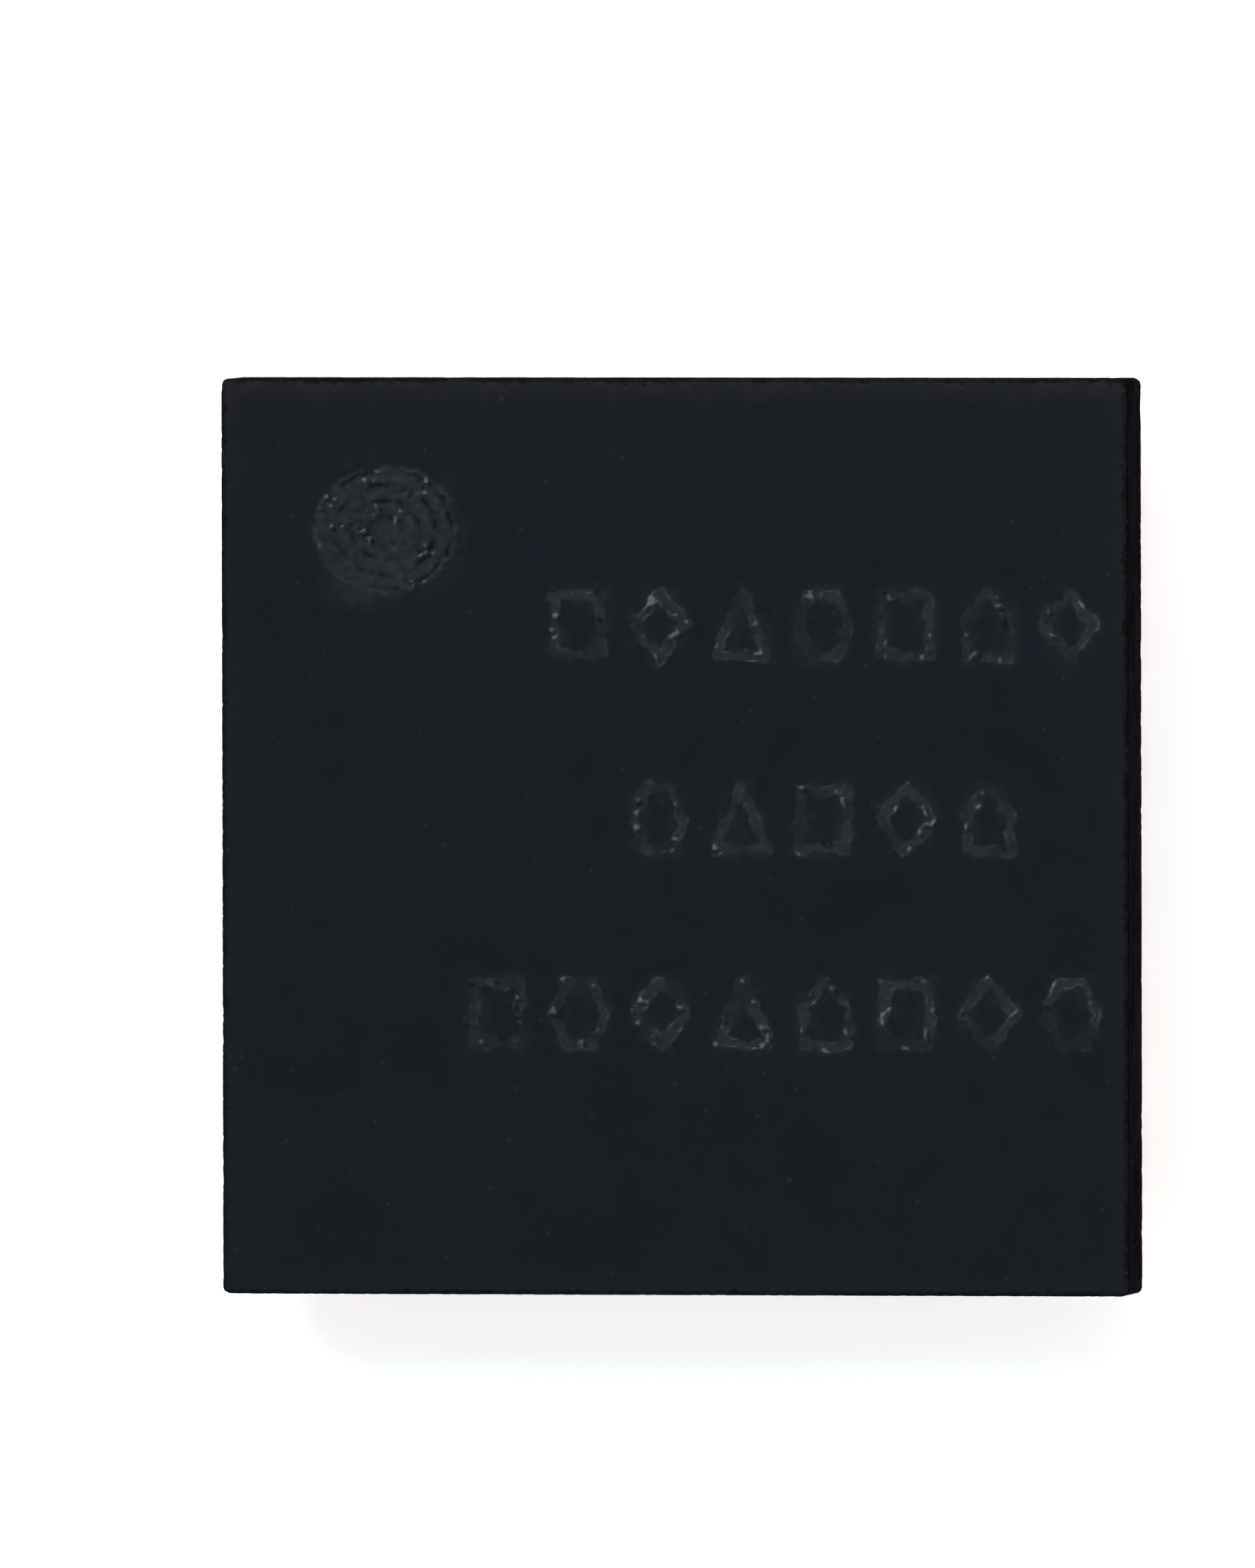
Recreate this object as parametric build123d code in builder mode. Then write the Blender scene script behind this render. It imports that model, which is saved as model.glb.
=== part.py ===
"""A wafer-level chip-scale package for a display driver, lying on its solder balls.

The black backside film is on top (+Z) and the ball bottoms are at z = 0. The origin is under the die's centre.
The layers are built from the die downwards: bond pads, lower polyimide, redistribution copper, upper polyimide,
under-bump pads and solder balls. Lands, openings and balls have flat facets, like the polygons of the drawn masks.
Sizes are in millimetres.
"""
import os
from math import asin, cos, degrees, radians, sin, sqrt

from build123d import *

# Ball grid
ball_pitch = 0.400
ball_columns = 7
ball_rows = 7
vacant_places = ["a4"]
pad_diameter = 0.230  # where a ball ends on its under-bump pad
ball_bulge = 0.016  # how far a ball's widest part stands out past its pad
ball_facets = 12
ball_bands = 3
lowest_angle = -72  # below the ball's widest part, where its flat foot begins
edge_margin = 0.220  # from the outer ball centres to the die's edge
array_shift = 0.016  # the ball grid lies this far towards row a

# Silicon die
die_thickness = 0.300
die_corner = 0.018
groove_inset = 0.012  # step left round the ball side by the first, wider cut
groove_depth = 0.030

# Backside film and its first-ball mark
film_thickness = 0.025
film_edge_round = 0.010
mark_diameter = 0.430
mark_from_left = 0.500
mark_from_top = 0.470
mark_rings = 4
ring_width = 0.020
ring_depth = 0.003

# Polyimide layers
street = 0.026  # bare silicon left round the polyimide
polyimide_corner = 0.024
lower_polyimide_thickness = 0.0075
upper_polyimide_thickness = 0.008
side_cover = 0.003  # how far the raised polyimide reaches past the copper under it

# Redistribution copper
copper_thickness = 0.008
copper_inset = 0.008  # from the polyimide's edge to the copper
channel_width = 0.012  # gap between planes
plane_corner = 0.022  # cut off the planes' outer corners
trace_width = 0.032
rail_width = 0.038  # copper strip along the left edge
edge_trace_width = 0.028  # copper strip along the top edge

# Vias, bond pads and under-bump pads
via_width = 0.022
via_land = 0.046
bond_pad_size = 0.044
bond_pad_thickness = 0.002
land_facets = 8
land_margin = 0.010  # a copper land reaches this far past its ball's pad
opening_lap = 0.012  # a ball laps over the polyimide round its opening by this much

# Ball section, a circle cut off at its pad
pad_radius = pad_diameter / 2
ball_radius = pad_radius + ball_bulge
ball_height = ball_radius + sqrt(ball_radius**2 - pad_radius**2)

# Heights, from the seating plane up
upper_polyimide_face = ball_height
copper_face = upper_polyimide_face + upper_polyimide_thickness
lower_polyimide_face = copper_face + copper_thickness
die_face = lower_polyimide_face + lower_polyimide_thickness
bond_pad_face = die_face - bond_pad_thickness
film_face = die_face + die_thickness
top_face = film_face + film_thickness

# Plan sizes
die_width = (ball_columns - 1) * ball_pitch + 2 * edge_margin
die_length = (ball_rows - 1) * ball_pitch + 2 * edge_margin
polyimide_width = die_width - 2 * street
polyimide_length = die_length - 2 * street
field_width = polyimide_width - 2 * copper_inset
field_length = polyimide_length - 2 * copper_inset
opening_radius = pad_radius - opening_lap
land_radius = pad_radius + land_margin


def solder_side(height):
    """The plane at a height as seen with the balls facing up: x to the right, y towards row a, growing downwards."""
    return Plane(origin=(0, 0, height), x_dir=(-1, 0, 0), z_dir=(0, 0, -1))


def at(column, row):
    """A place on the solder side, counted in pitches from the top left ball, which is (1, 1)."""
    right = (column - (ball_columns + 1) / 2) * ball_pitch
    up = ((ball_rows + 1) / 2 - row) * ball_pitch + array_shift
    return (right, up)


def ball_places():
    """Each ball's name and its column and row. Columns are numbered from the right, under the mark's corner."""
    places = {}
    for row in range(1, ball_rows + 1):
        for column in range(1, ball_columns + 1):
            name = "abcdefghijklmnop"[row - 1] + str(ball_columns + 1 - column)
            if name not in vacant_places:
                places[name] = (column, row)
    return places


# Copper artwork. Whole numbers are ball centres, and 0 or past the last ball is beyond the copper's edge.
beyond = ball_columns + 1
rail_line = (field_width / 2 - rail_width - channel_width / 2) / ball_pitch
rail_column = (ball_columns + 1) / 2 - rail_line
edge_line = (field_length / 2 - edge_trace_width - channel_width / 2 - array_shift) / ball_pitch
edge_row = (ball_rows + 1) / 2 - edge_line

channel_routes = [
    # corner plane round the first ball, and the rail that passes it
    [(1.375, 0), (1.375, 1.39), (0, 1.39)],
    # row a is parted from the rows below, apart from the plane at the vacant place
    [(1.375, 1.39), (1.50, 1.50), (3.40, 1.50)],
    [(4.36, 0), (4.36, 0.68), (4.29, 0.76), (4.29, 1.00), (4.45, 1.20), (4.45, 1.50), (beyond, 1.50)],
    # long trace along the top edge, down to its via land in the corner
    [(4.36, edge_row), (7.16, edge_row), (7.36, 0.80), (beyond, 0.80)],
    [(5.43, edge_row), (5.43, 1.50)],
    # supply plane round the balls of rows b and c at the left
    [(2.50, 1.50), (2.50, 3.40), (0.86, 3.40), (rail_column, 3.18)],
    # rail down the left edge, and the plane beside it
    [(rail_column, 3.18), (rail_column, 6.54), (0.80, 6.66), (1.42, 6.66), (1.58, 6.50), (3.50, 6.50)],
    [(rail_column, 4.65), (2.50, 4.65), (2.50, 6.50)],
    [(rail_column, 6.10), (0, 6.10)],
    # bottom left plane, slit round the corner ball
    [(3.50, 6.50), (3.50, beyond)],
    [(rail_column, 6.90), (rail_column, 7.18), (0.85, 7.38), (2.40, 7.38)],
    # planes at the right and at the bottom right
    [(5.50, 1.50), (5.50, 5.50), (beyond, 5.50)],
    [(5.50, 3.50), (beyond, 3.50)],
    [(4.50, beyond), (4.50, 6.50), (beyond, 6.50)],
]

# Bays with no copper, as corner points
bays = [
    [(2.80, 0), (3.60, 0), (3.60, 0.56), (3.43, 0.73), (3.43, 1.515), (3.05, 1.515), (3.05, 0.80), (2.80, 0.62)],
    [(rail_column, 1.41), (1.08, 1.41), (0.80, 1.67), (rail_column, 1.67)],
    [(0.96, 2.58), (1.62, 2.58), (1.62, 2.69), (0.96, 2.69)],
    [(rail_column, 3.22), (0.86, 3.44), (1.48, 3.44), (1.48, 4.65), (rail_column, 4.65)],
]

# Relief slots in the planes: column, row, length along the row, width, both as shares of the pitch
slots = [
    (1.595, 0.685, 0.375, 0.100),
    (1.490, 0.885, 0.250, 0.110),
    (2.530, 0.700, 0.420, 0.140),
    (5.310, 0.740, 0.110, 0.050),
    (5.590, 0.740, 0.210, 0.080),
    (5.570, 0.900, 0.170, 0.080),
    (6.640, 0.730, 0.120, 0.060),
    (7.360, 1.000, 0.050, 0.260),
    (1.560, 2.000, 0.060, 0.420),
    (1.560, 6.000, 0.060, 0.420),
    (3.500, 4.500, 0.300, 0.060),
    (6.500, 4.500, 0.060, 0.300),
]

# Signal traces, each from its ball to the via land at its far end
signal_routes = [
    [(1, 4), (1.25, 3.60)],
    [(2, 4), (1.62, 4.56), (0.90, 4.56)],
    [(6, 2), (6.48, 1.52), (6.48, 0.78)],
    [(3, 3), (2.62, 3.38), (2.62, 3.56)],
    [(7, 4), (6.66, 3.66), (6.36, 3.66)],
    [(4, 7), (4.00, 6.54), (4.14, 6.40), (4.42, 6.40)],
    [(2, 7), (2.34, 6.66), (2.60, 6.66)],
]

# Vias of the planes
plane_vias = [
    (0.80, 1.20),
    (1.70, 1.28),
    (3.60, 0.90),
    (4.60, 1.36),
    (5.64, 1.32),
    (6.74, 1.30),
    (0.77, 2.61),
    (1.82, 2.56),
    (3.50, 2.50),
    (4.50, 3.50),
    (3.50, 5.50),
    (1.50, 5.34),
    (1.50, 7.30),
    (6.50, 2.50),
    (6.50, 5.32),
    (5.50, 6.90),
]
rail_centre = rail_column - (rail_width + channel_width) / 2 / ball_pitch
edge_centre = edge_row - (edge_trace_width + channel_width) / 2 / ball_pitch
plane_vias += [(rail_centre, row) for row in (1.78, 2.61, 3.90, 5.20, 6.73)]
plane_vias += [(7.34, edge_centre)]

signal_balls = [route[0] for route in signal_routes]
signal_vias = [route[-1] for route in signal_routes]
all_balls = list(ball_places().values())
plane_balls = [place for place in all_balls if place not in signal_balls]
all_vias = plane_vias + signal_vias


def draw_sheet(width, length, corner):
    """Draw a sheet's outline, its corners cut off."""
    with BuildSketch(mode=Mode.PRIVATE) as sheet:
        Rectangle(width, length)
        chamfer(sheet.vertices(), corner)
    add(sheet.sketch)


def draw_strip(route, width, mode, overrun=0):
    """Draw a strip of even width along a route, with mitred turns. Both ends may run past the route's ends."""
    points = [Vector(*at(*place)) for place in route]
    points[0] += (points[0] - points[1]).normalized() * overrun
    points[-1] += (points[-1] - points[-2]).normalized() * overrun
    with BuildLine(mode=Mode.PRIVATE) as centre_line:
        Polyline(*points)
    trace(centre_line.line, line_width=width, mode=mode)


def draw_octagons(places, radius, mode=Mode.ADD):
    """Draw octagons round places of the solder side, their flats at a radius."""
    with Locations(*[at(*place) for place in places]):
        RegularPolygon(radius, land_facets, major_radius=False, rotation=180 / land_facets, mode=mode)


def draw_squares(places, width, mode=Mode.ADD):
    """Draw squares round places of the solder side."""
    with Locations(*[at(*place) for place in places]):
        Rectangle(width, width, mode=mode)


def draw_bay(corners, grow):
    """Cut a bay out of the planes."""
    with BuildSketch(mode=Mode.PRIVATE) as bay:
        Polygon(*[at(*corner) for corner in corners], align=None)
        if grow:
            offset(amount=-grow, kind=Kind.INTERSECTION)
    add(bay.sketch, mode=Mode.SUBTRACT)


def draw_slot(column, row, length, width, grow):
    """Cut a relief slot out of a plane."""
    with Locations(at(column, row)):
        Rectangle(length * ball_pitch - 2 * grow, width * ball_pitch - 2 * grow, mode=Mode.SUBTRACT)


def draw_signals(grow, mode=Mode.ADD):
    """Draw the ball lands, the traces and the square via lands of the signal balls."""
    draw_octagons(signal_balls, land_radius + grow, mode)
    for route in signal_routes:
        draw_strip(route, trace_width + 2 * grow, mode)
    draw_squares(signal_vias, via_land + 2 * grow, mode)


def draw_planes(grow=0):
    """Draw the planes: one field, parted by channels, bays and slots, with a whole land under every ball."""
    draw_sheet(field_width + 2 * grow, field_length + 2 * grow, plane_corner)
    for route in channel_routes:
        draw_strip(route, channel_width - 2 * grow, Mode.SUBTRACT, side_cover - grow)
    for corners in bays:
        draw_bay(corners, grow)
    for column, row, length, width in slots:
        draw_slot(column, row, length, width, grow)
    draw_octagons(plane_balls, land_radius + grow)
    draw_signals(channel_width - grow, Mode.SUBTRACT)


# Silicon die: sawn block with a step round its ball side
with BuildPart() as silicon_die:
    with BuildSketch(Plane.XY.offset(die_face)):
        draw_sheet(die_width - 2 * groove_inset, die_length - 2 * groove_inset, die_corner)
    extrude(amount=groove_depth)
    with BuildSketch(Plane.XY.offset(die_face + groove_depth)):
        RectangleRounded(die_width, die_length, die_corner)
    extrude(amount=die_thickness - groove_depth)

# Backside film: black sheet with a softened edge and a ringed mark over the first ball's corner
with BuildPart() as backside_film:
    with BuildSketch(Plane.XY.offset(film_face)):
        RectangleRounded(die_width, die_length, die_corner)
    extrude(amount=film_thickness)
    fillet(backside_film.faces().sort_by(Axis.Z)[-1].edges(), film_edge_round)
    with BuildSketch(Plane.XY.offset(top_face)):
        with Locations((mark_from_left - die_width / 2, die_length / 2 - mark_from_top)):
            for ring in range(mark_rings):
                ring_radius = mark_diameter / 2 * (ring + 0.5) / mark_rings
                Circle(ring_radius + ring_width / 2)
                Circle(ring_radius - ring_width / 2, mode=Mode.SUBTRACT)
    extrude(amount=-ring_depth, mode=Mode.SUBTRACT)

# Bond pads on the die's active face
with BuildPart() as bond_pads:
    with BuildSketch(solder_side(die_face)):
        draw_squares(all_vias, bond_pad_size)
    extrude(amount=bond_pad_thickness)

# Lower polyimide: thin sheet over the die, open at every via
with BuildPart() as lower_polyimide:
    with BuildSketch(solder_side(die_face)):
        draw_sheet(polyimide_width, polyimide_length, polyimide_corner)
    extrude(amount=lower_polyimide_thickness)
    add(bond_pads.part, mode=Mode.SUBTRACT)
    with BuildSketch(solder_side(bond_pad_face)):
        draw_squares(all_vias, via_width)
    extrude(amount=lower_polyimide_thickness - bond_pad_thickness, mode=Mode.SUBTRACT)

# Copper planes, each with its via plugs
with BuildPart() as copper_planes:
    with BuildSketch(solder_side(lower_polyimide_face)):
        draw_planes()
    extrude(amount=copper_thickness)
    with BuildSketch(solder_side(bond_pad_face)):
        draw_squares(plane_vias, via_width)
    extrude(amount=lower_polyimide_thickness - bond_pad_thickness)

planes_by_size = copper_planes.part.solids().sort_by(SortBy.VOLUME)
with BuildPart() as ground_plane:
    add(planes_by_size[-1])
with BuildPart() as supply_planes:
    add(planes_by_size[:-1])

# Signal traces, each with its ball land and via plug
with BuildPart() as signal_traces:
    with BuildSketch(solder_side(lower_polyimide_face)):
        draw_signals(0)
    extrude(amount=copper_thickness)
    with BuildSketch(solder_side(bond_pad_face)):
        draw_squares(signal_vias, via_width)
    extrude(amount=lower_polyimide_thickness - bond_pad_thickness)

# Upper polyimide: sheet that rises over the copper it covers, open under every ball
with BuildPart() as upper_polyimide:
    with BuildSketch(solder_side(lower_polyimide_face)):
        draw_sheet(polyimide_width, polyimide_length, polyimide_corner)
    extrude(amount=upper_polyimide_thickness)
    with BuildSketch(solder_side(lower_polyimide_face)):
        draw_planes(side_cover)
        draw_signals(side_cover)
    extrude(amount=copper_thickness + upper_polyimide_thickness)
    add(copper_planes.part, mode=Mode.SUBTRACT)
    add(signal_traces.part, mode=Mode.SUBTRACT)
    with BuildSketch(solder_side(copper_face)):
        draw_octagons(all_balls, opening_radius)
    extrude(amount=upper_polyimide_thickness, mode=Mode.SUBTRACT)

# Under-bump pads: a plate that fills each opening, level with the polyimide round it
with BuildPart() as under_bump_pads:
    with BuildSketch(solder_side(copper_face)):
        draw_octagons(all_balls, opening_radius)
    extrude(amount=upper_polyimide_thickness)

layers = {
    "silicon_die": silicon_die.part,
    "backside_film": backside_film.part,
    "bond_pads": bond_pads.part,
    "lower_polyimide": lower_polyimide.part,
    "ground_plane": ground_plane.part,
    "supply_planes": supply_planes.part,
    "signal_traces": signal_traces.part,
    "upper_polyimide": upper_polyimide.part,
    "under_bump_pads": under_bump_pads.part,
}
os.makedirs("parts", exist_ok=True)
for name, layer in layers.items():
    layer.label = name
    export_step(layer, "parts/" + name + ".step")

# Solder balls: faceted globes, flat where they stand and flat on their pads
pad_angle = degrees(asin((ball_height - ball_radius) / ball_radius))
ball_sections = [(0, ball_radius * cos(radians(lowest_angle)))]
for band in range(1, ball_bands + 1):
    angle = radians(lowest_angle + (pad_angle - lowest_angle) * band / ball_bands)
    ball_sections.append((ball_radius + ball_radius * sin(angle), ball_radius * cos(angle)))

for name, place in ball_places().items():
    right, up = at(*place)
    with BuildPart() as solder_ball:
        for height, radius in ball_sections:
            with BuildSketch(Plane((-right, up, height))):
                RegularPolygon(radius, ball_facets)
        loft(ruled=True)
    solder_ball.part.label = "solder_ball_" + name
    export_step(solder_ball.part, "parts/solder_ball_" + name + ".step")
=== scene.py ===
import math

import bmesh
import bpy
from bpy.props import FloatProperty, FloatVectorProperty, IntProperty, PointerProperty
from bpy.types import Operator, Panel, PropertyGroup
from mathutils import Matrix, Quaternion, Vector, noise


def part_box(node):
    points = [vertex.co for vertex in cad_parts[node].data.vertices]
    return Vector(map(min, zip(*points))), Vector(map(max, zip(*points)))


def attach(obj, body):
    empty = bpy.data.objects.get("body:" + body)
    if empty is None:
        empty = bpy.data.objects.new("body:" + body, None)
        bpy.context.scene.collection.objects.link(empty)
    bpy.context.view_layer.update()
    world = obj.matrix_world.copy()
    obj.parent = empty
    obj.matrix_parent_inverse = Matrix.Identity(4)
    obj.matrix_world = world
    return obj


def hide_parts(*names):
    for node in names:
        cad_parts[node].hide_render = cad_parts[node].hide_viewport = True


bl_info = {
    "name": "Display Driver Chip",
    "version": (1, 0),
    "blender": (4, 5, 0),
    "location": "3D View > Sidebar > Chip",
    "description": "Wafer-level chip package: marked film, sawn die, embossed polyimide and crinkled solder balls",
    "category": "Add Mesh",
}

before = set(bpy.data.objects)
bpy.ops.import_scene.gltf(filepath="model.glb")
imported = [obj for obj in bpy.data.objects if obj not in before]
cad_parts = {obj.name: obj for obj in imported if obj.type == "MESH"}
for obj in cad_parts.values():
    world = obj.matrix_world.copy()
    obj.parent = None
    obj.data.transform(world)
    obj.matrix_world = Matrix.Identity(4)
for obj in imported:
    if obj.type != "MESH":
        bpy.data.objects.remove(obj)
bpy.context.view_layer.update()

# Pieces are shaped in millimetres and brought to metres when they are done.
MM = 0.001

film_low, film_high = (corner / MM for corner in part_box("backside_film"))
die_low, die_high = (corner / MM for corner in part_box("silicon_die"))
sheet_low, sheet_high = (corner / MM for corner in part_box("upper_polyimide"))
BALL_NODES = sorted(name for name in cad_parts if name.startswith("solder_ball_"))
BALL_HEIGHT = sheet_low.z
HALF = film_high.x

# The photo's height, and how far right of its middle and under it the face's centre lies, in pixels
PHOTO_HEIGHT = 2156
FACE_RIGHT = 64
FACE_UNDER = 73

# Settings, shown in the panel

class FilmSettings(PropertyGroup):
    """Backside film and its laser marks."""

    colour: FloatVectorProperty(
        name="Film colour", description="Matt black of the film", subtype="COLOR", default=(0.0069, 0.0091, 0.0126)
    )
    mark_colour: FloatVectorProperty(
        name="Mark colour", description="Grey of the lasered film", subtype="COLOR", default=(0.034, 0.037, 0.043)
    )
    corner_radius: FloatProperty(
        name="Corner radius", description="Round of the upright corners", unit="LENGTH", default=23e-6, precision=7
    )
    edge_width: FloatProperty(
        name="Edge width", description="How far in the sawn edge slopes", unit="LENGTH", default=16e-6, precision=7
    )
    edge_drop: FloatProperty(
        name="Edge drop", description="How far down the sawn edge slopes", unit="LENGTH", default=8e-6, precision=7
    )
    mark_depth: FloatProperty(
        name="Mark depth", description="Depth of the laser marks", unit="LENGTH", default=1.6e-6, precision=7
    )


class DieSettings(PropertyGroup):
    """Silicon die."""

    colour: FloatVectorProperty(
        name="Silicon colour", description="Grey-brown of the sawn walls", subtype="COLOR", default=(0.0062, 0.0056, 0.0063)
    )
    scorched: FloatVectorProperty(
        name="Scorched", description="Dark red of the wall over the step", subtype="COLOR", default=(0.022, 0.0036, 0.0062)
    )
    step_colour: FloatVectorProperty(
        name="Step colour", description="Brown of the step and the ball side", subtype="COLOR",
        default=(0.125, 0.076, 0.058),
    )
    step_inset: FloatProperty(
        name="Step inset", description="Width of the step round the ball side", unit="LENGTH", default=12e-6, precision=7
    )
    step_height: FloatProperty(
        name="Step height", description="Height of the step round the ball side", unit="LENGTH", default=30e-6,
        precision=7,
    )
    saw_depth: FloatProperty(
        name="Saw depth", description="Depth of the saw lines and chips", unit="LENGTH", default=2.4e-6, precision=7
    )


class PolyimideSettings(PropertyGroup):
    """Polyimide over the copper."""

    over_copper: FloatVectorProperty(
        name="Over copper", description="Polyimide with copper under it", subtype="COLOR", default=(0.80, 0.235, 0.036)
    )
    bare: FloatVectorProperty(
        name="Over silicon", description="Polyimide with no copper under it", subtype="COLOR",
        default=(0.120, 0.026, 0.008),
    )
    edge_round: FloatProperty(
        name="Edge round", description="Round of the embossed edges", unit="LENGTH", default=1.6e-6, precision=8
    )
    dimple_radius: FloatProperty(
        name="Dimple radius", description="Radius of the dimple at each via", unit="LENGTH", default=15e-6, precision=7
    )
    dimple_depth: FloatProperty(
        name="Dimple depth", description="Depth of the dimple at each via", unit="LENGTH", default=3e-6, precision=7
    )


class BallSettings(PropertyGroup):
    """Solder balls."""

    colour: FloatVectorProperty(
        name="Tin colour", description="Dull tin of the balls", subtype="COLOR", default=(0.64, 0.615, 0.585)
    )
    top_radius: FloatProperty(
        name="Top radius", description="Radius of the flat top that joins the pad", unit="LENGTH", default=115e-6,
        precision=7,
    )
    crinkle: FloatProperty(
        name="Crinkle", description="Depth of the crinkled skin", unit="LENGTH", default=6e-6, precision=7
    )
    facet: FloatProperty(
        name="Facet", description="Size of the skin's facets", unit="LENGTH", default=38e-6, precision=7
    )
    smoothness: IntProperty(
        name="Smoothness", description="Divisions of the ball's mesh", default=5, min=3, max=6
    )


class StageSettings(PropertyGroup):
    """Floor, lamps and camera."""

    floor_colour: FloatVectorProperty(
        name="Floor colour", description="Pale floor", subtype="COLOR", default=(0.98, 0.98, 0.98)
    )
    tilt_right: FloatProperty(
        name="Tilt to the right", description="How far the camera leans over to column 7", unit="ROTATION",
        default=math.radians(9.2),
    )
    tilt_up: FloatProperty(
        name="Tilt to the top", description="How far the camera leans over to row a", unit="ROTATION",
        default=math.radians(1.4),
    )
    lens: FloatProperty(name="Lens", description="Focal length in millimetres, long as in the photo", default=1200.0)
    pixel: FloatProperty(
        name="Pixel size", description="Size on the chip of one pixel of the photo", unit="LENGTH", default=2.253e-6,
        precision=8,
    )


# Selecting, moving and finishing pieces

def ready():
    """Leave edit mode with nothing selected."""
    if bpy.context.mode != "OBJECT":
        bpy.ops.object.mode_set(mode="OBJECT")
    bpy.ops.object.select_all(action="DESELECT")


def take(obj):
    """Make one object the only one selected."""
    ready()
    obj.select_set(True)
    bpy.context.view_layer.objects.active = obj


def added(name):
    """Name the primitive that was just added, which stays active, and open it for editing."""
    obj = bpy.context.object
    obj.name = name
    obj.data.name = name
    bpy.ops.object.transform_apply(location=True, rotation=True, scale=True)
    bpy.ops.object.mode_set(mode="EDIT")
    return obj


def copy_of(node, name):
    """Copy a CAD node's shape in millimetres, merged and selected in edit mode."""
    ready()
    obj = bpy.data.objects.new(name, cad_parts[node].data.copy())
    bpy.context.scene.collection.objects.link(obj)
    take(obj)
    obj.scale = (1 / MM,) * 3
    bpy.ops.object.transform_apply(location=False, rotation=False, scale=True)
    bpy.ops.object.mode_set(mode="EDIT")
    bpy.ops.mesh.select_mode(type="VERT")
    bpy.ops.mesh.select_all(action="SELECT")
    bpy.ops.mesh.remove_doubles(threshold=1e-5)
    return obj


def choose(obj, kind, test):
    """In edit mode, select the vertices, edges or faces that pass a test."""
    bpy.ops.mesh.select_mode(type=kind)
    bpy.ops.mesh.select_all(action="DESELECT")
    mesh = bmesh.from_edit_mesh(obj.data)
    for item in {"VERT": mesh.verts, "EDGE": mesh.edges, "FACE": mesh.faces}[kind]:
        if test(item):
            item.select_set(True)
    mesh.select_flush_mode()
    bmesh.update_edit_mesh(obj.data)


def choose_rim(obj):
    """In edit mode, select the open edge of a surface."""
    choose(obj, "EDGE", lambda edge: edge.is_boundary)


def draw_down(depth, rows, lean=0.0):
    """Extrude the selected rim down, in even rows. It may lean in, as a share of its depth."""
    for _ in range(rows):
        bpy.ops.mesh.extrude_edges_move(TRANSFORM_OT_translate={"value": (0, 0, -depth / rows)})
        shrink = 1 - lean * depth / rows / HALF
        bpy.ops.transform.resize(value=(shrink, shrink, 1))


def weigh(obj, name, amount):
    """Make a vertex group whose weights come from each vertex's place."""
    group = obj.vertex_groups.new(name=name)
    for vertex in obj.data.vertices:
        weight = amount(vertex.co)
        if weight > 0:
            group.add([vertex.index], min(weight, 1), "REPLACE")


def press(obj, name, depth, direction="NORMAL"):
    """Push the surface in, as far as a vertex group of that name says."""
    take(obj)
    change = obj.modifiers.new(name, "DISPLACE")
    change.vertex_group = name
    change.direction = direction
    change.mid_level = 0
    change.strength = -depth
    bpy.ops.object.modifier_apply(modifier=name)


def note(obj, name, amount):
    """Keep a number from each vertex's place, for the material to read."""
    attribute = obj.data.attributes.new(name, "FLOAT", "POINT")
    attribute.data.foreach_set("value", [amount(vertex.co) for vertex in obj.data.vertices])


def round_corners(obj, half, radius):
    """Draw the square corners of a block in to a radius, ring by ring."""
    start = half - radius
    for vertex in obj.data.vertices:
        x, y = abs(vertex.co.x) - start, abs(vertex.co.y) - start
        if x > 0 and y > 0:
            share = max(x, y) / math.hypot(x, y)
            vertex.co.x = math.copysign(start + x * share, vertex.co.x)
            vertex.co.y = math.copysign(start + y * share, vertex.co.y)


def hand_over(obj, material, nodes, angle=40):
    """Bring a piece to metres, finish it and let it stand for its CAD nodes."""
    take(obj)
    obj.vertex_groups.clear()
    obj.scale = (MM, MM, MM)
    bpy.ops.object.transform_apply(location=False, rotation=False, scale=True)
    bpy.ops.object.shade_smooth_by_angle(angle=math.radians(angle))
    obj.data.materials.clear()
    obj.data.materials.append(material)
    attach(obj, "root")
    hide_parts(*nodes)
    ready()


# Unevenness, worked out from each vertex's place

def rough(place, size, seed=0.0):
    """Smooth noise from 0 to 1, with lumps of a size."""
    return 0.5 + 0.5 * noise.noise(place / size + Vector((seed, seed * 1.7, seed * 0.3)))


def crumbled(place, size, seed=0.0):
    """Noise from 0 to 1 with small lumps on large ones."""
    return 0.6 * rough(place, size, seed) + 0.4 * rough(place, size * 0.37, seed + 5)


def step(low, high, value):
    """0 under low, 1 over high, and smooth between."""
    share = min(max((value - low) / (high - low), 0), 1)
    return share * share * (3 - 2 * share)


def warped(place, size):
    """A place moved about a little, so that facets have crooked sides."""
    return place + noise.noise_vector(place / size) * size * 0.35


def facet_shade(place, size):
    """Number from 0 to 1 that is the same all over one facet of a crinkled skin."""
    _, centres = noise.voronoi(warped(place, size) / size)
    return 0.5 + 0.5 * noise.noise(centres[0] * 3.7)


def fold(place, size):
    """How close a place is to a fold between two facets. The folds are broken, and some are fine ones."""
    near, _ = noise.voronoi(warped(place, size) / size)
    fine, _ = noise.voronoi(place / (size * 0.45))
    long_folds = (1 - step(0.02, 0.26, near[1] - near[0])) * step(0.40, 0.58, rough(place, size * 1.3, 7))
    short_folds = (1 - step(0.02, 0.30, fine[1] - fine[0])) * step(0.48, 0.64, rough(place, size, 17))
    return max(long_folds, 0.7 * short_folds)


# Laser marks, in millimetres on the face
MARK_CENTRE = Vector((-0.905, 0.951, 0))
MARK_RADIUS = 0.203
MARK_STRETCH = 1.14
MARK_PITCH = 0.046
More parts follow.
